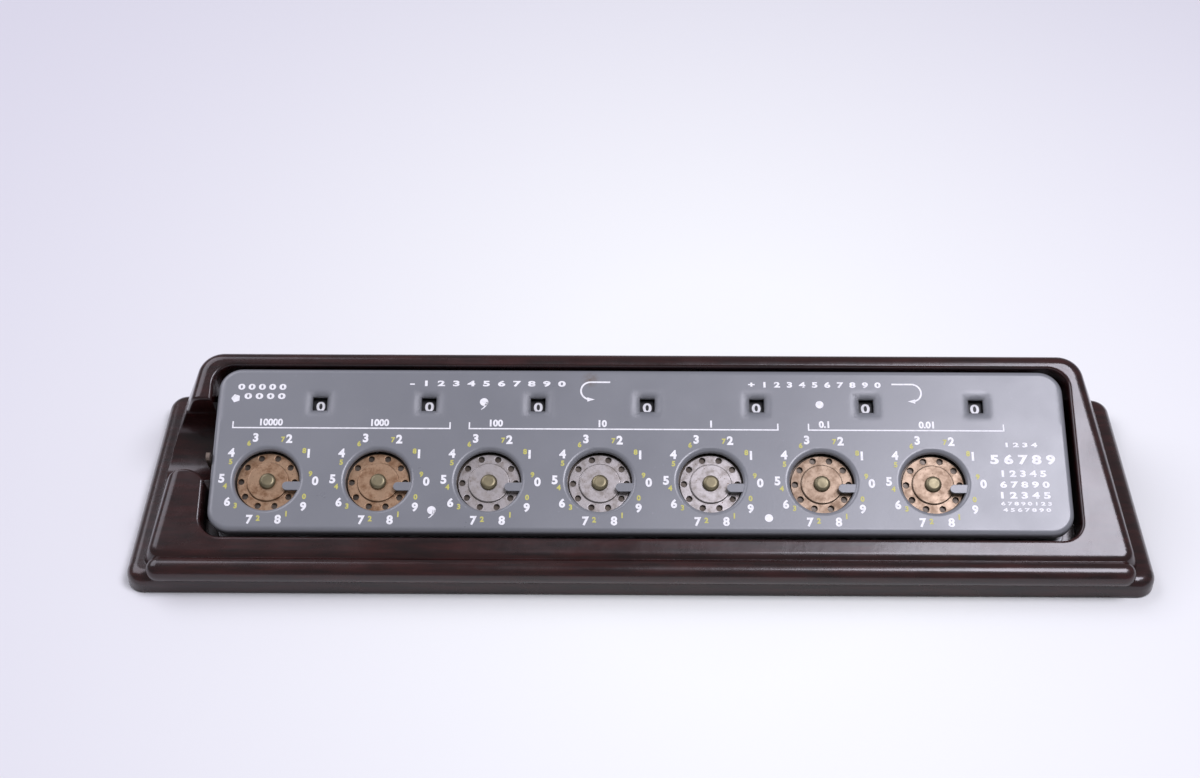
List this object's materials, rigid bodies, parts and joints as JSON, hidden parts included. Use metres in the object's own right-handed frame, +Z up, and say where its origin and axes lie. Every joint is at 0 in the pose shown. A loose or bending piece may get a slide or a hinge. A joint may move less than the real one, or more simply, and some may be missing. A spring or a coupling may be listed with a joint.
{
  "type": "adding machine",
  "caption": "Low desk adding machine: dark moulded case, sloping painted panel, a row of stylus dials with numeral windows above, clearing lever at the left.",
  "frame": {"origin": "on the table, at the middle of the machine's outline", "axes": "+X to the user's right along the dial row, +Y away from the user, +Z up"},
  "size_m": [0.32, 0.09, 0.0409],
  "materials": {
    "case": "gloss moulded",
    "face_panel": "satin paint",
    "mechanism_plate": "zinc plated",
    "spacer_posts": "turned",
    "post_screws": "zinc plated",
    "mount_screws": "zinc plated",
    "dial_pivots": "aged",
    "numeral_pivots": "turned",
    "detent_rivets": "plain",
    "guide_screws": "turned",
    "spring_anchor": "turned",
    "clear_spring": "spring wire",
    "bottom_cover": "satin paint",
    "cover_screws": "zinc plated",
    "rubber_feet": "matt",
    "clear_bar": "zinc plated",
    "clear_tab": "aged",
    "dial_disc": "aged copper tone",
    "dial_disc_plain": "zinc, aged",
    "dial_gear": "plain",
    "carry_finger": "plain",
    "numeral_disc": "satin black",
    "numeral_gear": "plain",
    "detent_spring": "spring strip"
  },
  "bodies": {
    "frame": {"case": "case", "face_panel": "face_panel", "mechanism_plate": "mechanism_plate", "spacer_posts": "spacer_posts", "post_screws": "post_screws", "mount_screws": "mount_screws", "dial_pivots": "dial_pivots", "numeral_pivots": "numeral_pivots", "detent_rivets": "detent_rivets", "guide_screws": "guide_screws", "spring_anchor": "spring_anchor", "clear_spring": "clear_spring", "bottom_cover": "bottom_cover", "cover_screws": "cover_screws", "rubber_feet": "rubber_feet", "detent_spring_1": "detent_spring", "detent_spring_2": "detent_spring", "detent_spring_3": "detent_spring", "detent_spring_4": "detent_spring", "detent_spring_5": "detent_spring", "detent_spring_6": "detent_spring", "detent_spring_7": "detent_spring"},
    "dial_1": {"dial_disc_1": "dial_disc", "dial_gear_1": "dial_gear"},
    "numeral_1": {"numeral_disc_1": "numeral_disc", "numeral_gear_1": "numeral_gear"},
    "dial_2": {"dial_disc_2": "dial_disc", "dial_gear_2": "dial_gear", "carry_finger_2": "carry_finger"},
    "numeral_2": {"numeral_disc_2": "numeral_disc", "numeral_gear_2": "numeral_gear"},
    "dial_3": {"dial_disc_3": "dial_disc_plain", "dial_gear_3": "dial_gear", "carry_finger_3": "carry_finger"},
    "numeral_3": {"numeral_disc_3": "numeral_disc", "numeral_gear_3": "numeral_gear"},
    "dial_4": {"dial_disc_4": "dial_disc_plain", "dial_gear_4": "dial_gear", "carry_finger_4": "carry_finger"},
    "numeral_4": {"numeral_disc_4": "numeral_disc", "numeral_gear_4": "numeral_gear"},
    "dial_5": {"dial_disc_5": "dial_disc_plain", "dial_gear_5": "dial_gear", "carry_finger_5": "carry_finger"},
    "numeral_5": {"numeral_disc_5": "numeral_disc", "numeral_gear_5": "numeral_gear"},
    "dial_6": {"dial_disc_6": "dial_disc", "dial_gear_6": "dial_gear", "carry_finger_6": "carry_finger"},
    "numeral_6": {"numeral_disc_6": "numeral_disc", "numeral_gear_6": "numeral_gear"},
    "dial_7": {"dial_disc_7": "dial_disc", "dial_gear_7": "dial_gear", "carry_finger_7": "carry_finger"},
    "numeral_7": {"numeral_disc_7": "numeral_disc", "numeral_gear_7": "numeral_gear"},
    "clear_slide": {"clear_bar": "clear_bar", "clear_tab": "clear_tab"}
  },
  "joints": [
    {"name": "dial_turn_1", "type": "hinge", "parent": "frame", "child": "dial_1", "pos_m": [-0.1174, -0.01501, 0.02114], "axis": [0, -0.4258, 0.9048], "continuous": true},
    {"name": "dial_turn_2", "type": "hinge", "parent": "frame", "child": "dial_2", "pos_m": [-0.08245, -0.01501, 0.02114], "axis": [0, -0.4258, 0.9048], "continuous": true},
    {"name": "dial_turn_3", "type": "hinge", "parent": "frame", "child": "dial_3", "pos_m": [-0.0475, -0.01501, 0.02114], "axis": [0, -0.4258, 0.9048], "continuous": true},
    {"name": "dial_turn_4", "type": "hinge", "parent": "frame", "child": "dial_4", "pos_m": [-0.01255, -0.01501, 0.02114], "axis": [0, -0.4258, 0.9048], "continuous": true},
    {"name": "dial_turn_5", "type": "hinge", "parent": "frame", "child": "dial_5", "pos_m": [0.0224, -0.01501, 0.02114], "axis": [0, -0.4258, 0.9048], "continuous": true},
    {"name": "dial_turn_6", "type": "hinge", "parent": "frame", "child": "dial_6", "pos_m": [0.05735, -0.01501, 0.02114], "axis": [0, -0.4258, 0.9048], "continuous": true},
    {"name": "dial_turn_7", "type": "hinge", "parent": "frame", "child": "dial_7", "pos_m": [0.0923, -0.01501, 0.02114], "axis": [0, -0.4258, 0.9048], "continuous": true},
    {"name": "numeral_turn_1", "type": "hinge", "parent": "frame", "child": "numeral_1", "pos_m": [-0.1024, 0.00168, 0.029], "axis": [0, -0.4258, 0.9048], "continuous": true, "deforming": ["detent_spring_1"]},
    {"name": "numeral_turn_2", "type": "hinge", "parent": "frame", "child": "numeral_2", "pos_m": [-0.06745, 0.00168, 0.029], "axis": [0, -0.4258, 0.9048], "continuous": true, "deforming": ["detent_spring_2"]},
    {"name": "numeral_turn_3", "type": "hinge", "parent": "frame", "child": "numeral_3", "pos_m": [-0.0325, 0.00168, 0.029], "axis": [0, -0.4258, 0.9048], "continuous": true, "deforming": ["detent_spring_3"]},
    {"name": "numeral_turn_4", "type": "hinge", "parent": "frame", "child": "numeral_4", "pos_m": [0.00245, 0.00168, 0.029], "axis": [0, -0.4258, 0.9048], "continuous": true, "deforming": ["detent_spring_4"]},
    {"name": "numeral_turn_5", "type": "hinge", "parent": "frame", "child": "numeral_5", "pos_m": [0.0374, 0.00168, 0.029], "axis": [0, -0.4258, 0.9048], "continuous": true, "deforming": ["detent_spring_5"]},
    {"name": "numeral_turn_6", "type": "hinge", "parent": "frame", "child": "numeral_6", "pos_m": [0.07235, 0.00168, 0.029], "axis": [0, -0.4258, 0.9048], "continuous": true, "deforming": ["detent_spring_6"]},
    {"name": "numeral_turn_7", "type": "hinge", "parent": "frame", "child": "numeral_7", "pos_m": [0.1073, 0.00168, 0.029], "axis": [0, -0.4258, 0.9048], "continuous": true, "deforming": ["detent_spring_7"]},
    {"name": "clear_pull", "type": "slide", "parent": "frame", "child": "clear_slide", "axis": [0, -0.9048, -0.4258], "range_m": [0, 0.005], "stiffness_N_per_m": 150, "springref_m": -0.003, "deforming": ["clear_spring"]}
  ],
  "couplings": [
    {"joint": "numeral_turn_1", "follows": "dial_turn_1", "ratio": -1},
    {"joint": "numeral_turn_2", "follows": "dial_turn_2", "ratio": -1},
    {"joint": "numeral_turn_3", "follows": "dial_turn_3", "ratio": -1},
    {"joint": "numeral_turn_4", "follows": "dial_turn_4", "ratio": -1},
    {"joint": "numeral_turn_5", "follows": "dial_turn_5", "ratio": -1},
    {"joint": "numeral_turn_6", "follows": "dial_turn_6", "ratio": -1},
    {"joint": "numeral_turn_7", "follows": "dial_turn_7", "ratio": -1}
  ]
}
